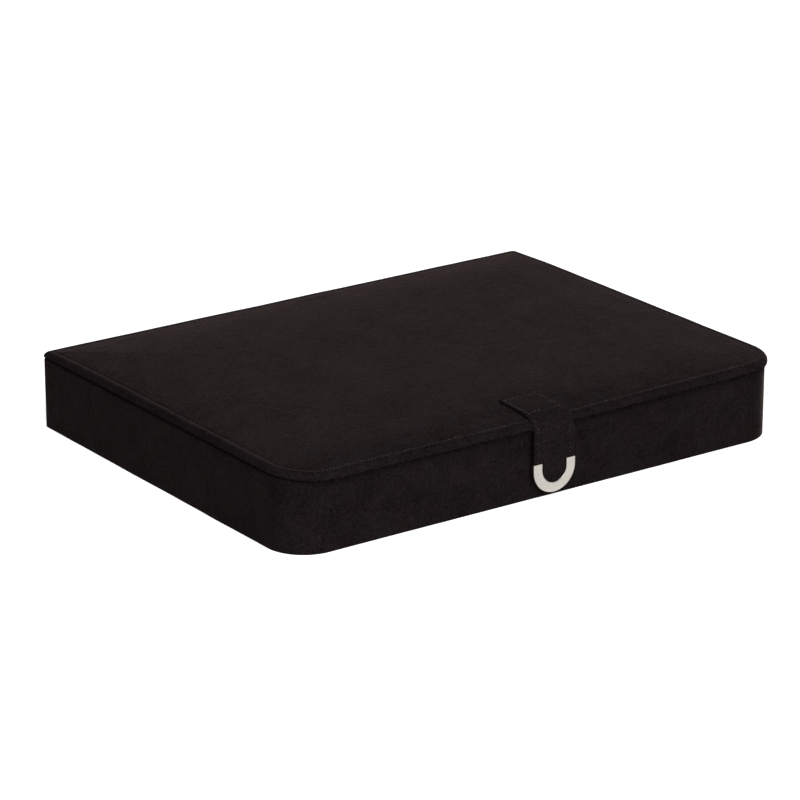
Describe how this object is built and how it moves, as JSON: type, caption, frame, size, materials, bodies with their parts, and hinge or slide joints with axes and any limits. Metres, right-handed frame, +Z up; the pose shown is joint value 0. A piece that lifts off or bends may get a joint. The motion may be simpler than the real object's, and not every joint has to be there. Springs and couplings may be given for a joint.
{
  "type": "jewellery case",
  "caption": "Flat cloth-covered jewellery case: padded lid on a cloth hinge, closing tab with a metal tip, and a velvet-lined divided base.",
  "frame": {"origin": "middle of the base's footprint, on the surface that it stands on, with the lid closed", "axes": "+X to the right seen from the front, -Y the front with the closing tab, +Z up"},
  "size_m": [0.3696, 0.2858, 0.0538],
  "materials": {
    "suede": "brushed nap",
    "velvet": "short pile",
    "board": "raw grey board",
    "base_paper": "matt paper",
    "foam": "open cell",
    "stiffener": "matt sheet",
    "thread": "twisted thread",
    "tip_metal": "satin nickel",
    "closure_steel": "nickel plate",
    "magnet": "bare ferrite"
  },
  "bodies": {
    "base": {"bottom_sheet": "base_paper", "base_filler_card": "board", "floor_board": "board", "front_wall_board": "board", "back_wall_board": "board", "left_wall_board": "board", "right_wall_board": "board", "left_corner_board": "board", "right_corner_board": "board", "base_cover": "suede", "wall_lining": "velvet", "floor_pad": "velvet", "long_divider_1": "velvet", "long_divider_2": "velvet", "long_divider_3": "velvet", "cross_divider_1": "velvet", "cross_divider_2": "velvet", "cross_divider_3": "velvet", "cross_divider_4": "velvet", "cross_divider_5": "velvet", "keeper_plate": "closure_steel", "keeper_washer": "closure_steel", "hinge_cloth": "suede"},
    "lid": {"lid_board": "board", "lid_foam": "foam", "lid_cover": "suede", "lid_filler_card": "board", "lid_lining": "velvet", "lid_seam_thread": "thread", "strap_on_lid": "suede", "strap_stitching": "thread"},
    "tab": {"tab_flap": "suede", "tab_stiffener": "stiffener", "tab_tip": "tip_metal", "magnet_cup": "closure_steel", "magnet": "magnet", "cup_washer": "closure_steel", "tab_stitching": "thread"}
  },
  "joints": [
    {"name": "lid_hinge", "type": "hinge", "parent": "base", "child": "lid", "pos_m": [0, 0.1403, 0.04665], "axis": [-1, 0, 0], "range_deg": [0, 180], "deforming": ["hinge_cloth"]},
    {"name": "tab_hinge", "type": "hinge", "parent": "lid", "child": "tab", "pos_m": [0, -0.14266, 0.05096], "axis": [-1, 0, 0], "range_deg": [0, 120]}
  ]
}
